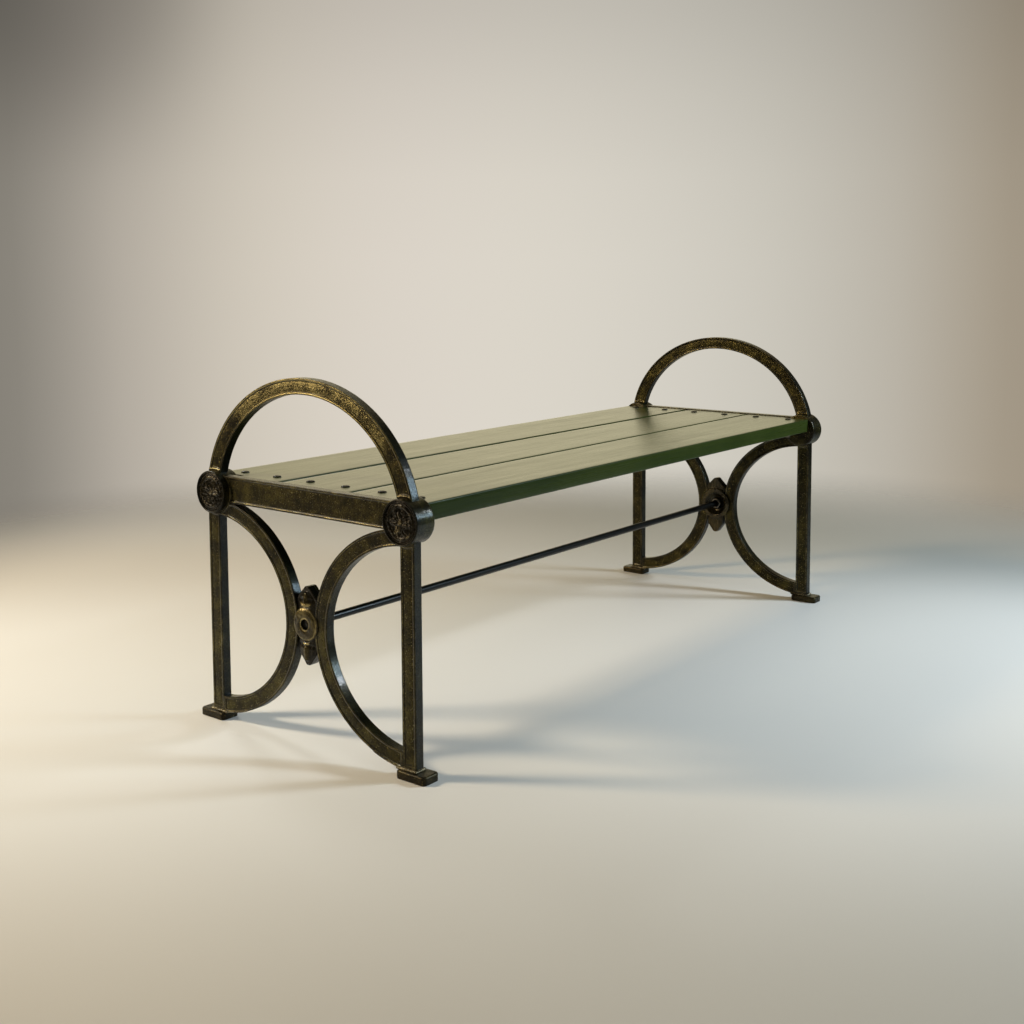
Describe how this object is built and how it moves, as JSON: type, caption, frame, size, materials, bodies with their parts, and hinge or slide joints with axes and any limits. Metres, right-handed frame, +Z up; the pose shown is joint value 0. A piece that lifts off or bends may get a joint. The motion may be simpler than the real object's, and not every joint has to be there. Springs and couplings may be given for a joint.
{
  "type": "garden bench",
  "caption": "Backless garden bench with cast iron end frames, half-round arms, round hubs and bowed legs, a painted plank seat and a low tie rod.",
  "frame": {"origin": "on the ground under the middle of the seat, midway between the end frames and between the feet", "axes": "+X along the seat from the left end frame to the right one, -Y towards the front edge, +Z up"},
  "size_m": [1.3846, 0.5334, 0.6102],
  "materials": {
    "frame_iron": "dark bronze-brown painted casting, sand-cast grain in the sunk panels, olive-gold rubbed edges",
    "rosette_iron": "dark bronze casting with brighter rubbed relief",
    "seat_paint": "satin green paint over planed boards, faint grain",
    "rod_black": "near-black satin",
    "bolt_black": "dark, slightly rusty domed heads",
    "plated_steel": "dull zinc plate"
  },
  "bodies": {
    "root": {"front_plank": "seat_paint", "left_arm_hoop": "frame_iron", "left_front_bow": "frame_iron", "left_front_foot": "frame_iron", "left_front_hub": "frame_iron", "left_front_leg": "frame_iron", "left_front_rosette": "rosette_iron", "left_leaf_boss": "frame_iron", "left_rear_bow": "frame_iron", "left_rear_foot": "frame_iron", "left_rear_hub": "frame_iron", "left_rear_leg": "frame_iron", "left_rear_rosette": "rosette_iron", "left_rod_nut": "plated_steel", "left_seat_bolts": "bolt_black", "left_seat_nuts": "plated_steel", "left_seat_rail": "frame_iron", "left_seat_washers": "plated_steel", "middle_plank": "seat_paint", "rear_plank": "seat_paint", "right_arm_hoop": "frame_iron", "right_front_bow": "frame_iron", "right_front_foot": "frame_iron", "right_front_hub": "frame_iron", "right_front_leg": "frame_iron", "right_front_rosette": "rosette_iron", "right_leaf_boss": "frame_iron", "right_rear_bow": "frame_iron", "right_rear_foot": "frame_iron", "right_rear_hub": "frame_iron", "right_rear_leg": "frame_iron", "right_rear_rosette": "rosette_iron", "right_rod_nut": "plated_steel", "right_seat_bolts": "bolt_black", "right_seat_nuts": "plated_steel", "right_seat_rail": "frame_iron", "right_seat_washers": "plated_steel", "tie_rod": "rod_black"}
  },
  "joints": []
}
